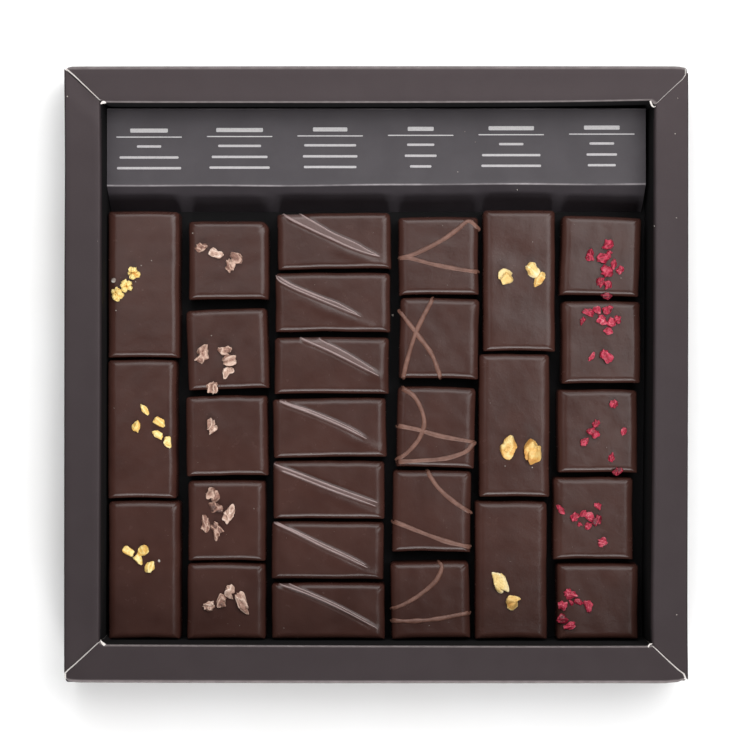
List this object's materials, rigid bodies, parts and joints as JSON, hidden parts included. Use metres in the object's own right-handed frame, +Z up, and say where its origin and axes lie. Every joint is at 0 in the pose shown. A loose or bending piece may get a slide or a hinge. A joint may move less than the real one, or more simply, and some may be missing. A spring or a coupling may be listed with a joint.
{
  "type": "box of chocolate pralines",
  "caption": "Open square black card box with thick walls, a folded legend card along one side and enrobed dark chocolate pralines in six columns.",
  "frame": {"origin": "middle of the box's underside, on the surface it stands on", "axes": "+Z up out of the open box, +X to the right along the front wall, +Y from the front wall to the legend card"},
  "size_m": [0.19, 0.188, 0.028],
  "materials": {
    "black_card": "matt warm black card with pale cut edges",
    "legend_card": "matt warm black card with thin pale printed lines",
    "sesame_praline": "satin dark chocolate with golden seed crumbs",
    "nib_praline": "satin dark chocolate with pinkish tan nibs",
    "ridge_praline": "satin dark chocolate with raised glossy folds",
    "string_praline": "satin dark chocolate with thin milk chocolate strings",
    "almond_praline": "satin dark chocolate with cream and golden nut pieces",
    "berry_praline": "satin dark chocolate with crimson dried berry crumbs"
  },
  "bodies": {
    "root": {"box": "black_card", "legend_card": "legend_card", "sesame_1": "sesame_praline", "sesame_2": "sesame_praline", "sesame_3": "sesame_praline", "nib_1": "nib_praline", "nib_2": "nib_praline", "nib_3": "nib_praline", "nib_4": "nib_praline", "nib_5": "nib_praline", "ridge_1": "ridge_praline", "ridge_2": "ridge_praline", "ridge_3": "ridge_praline", "ridge_4": "ridge_praline", "ridge_5": "ridge_praline", "ridge_6": "ridge_praline", "ridge_7": "ridge_praline", "string_1": "string_praline", "string_2": "string_praline", "string_3": "string_praline", "string_4": "string_praline", "string_5": "string_praline", "almond_1": "almond_praline", "almond_2": "almond_praline", "almond_3": "almond_praline", "berry_1": "berry_praline", "berry_2": "berry_praline", "berry_3": "berry_praline", "berry_4": "berry_praline", "berry_5": "berry_praline"}
  },
  "joints": []
}
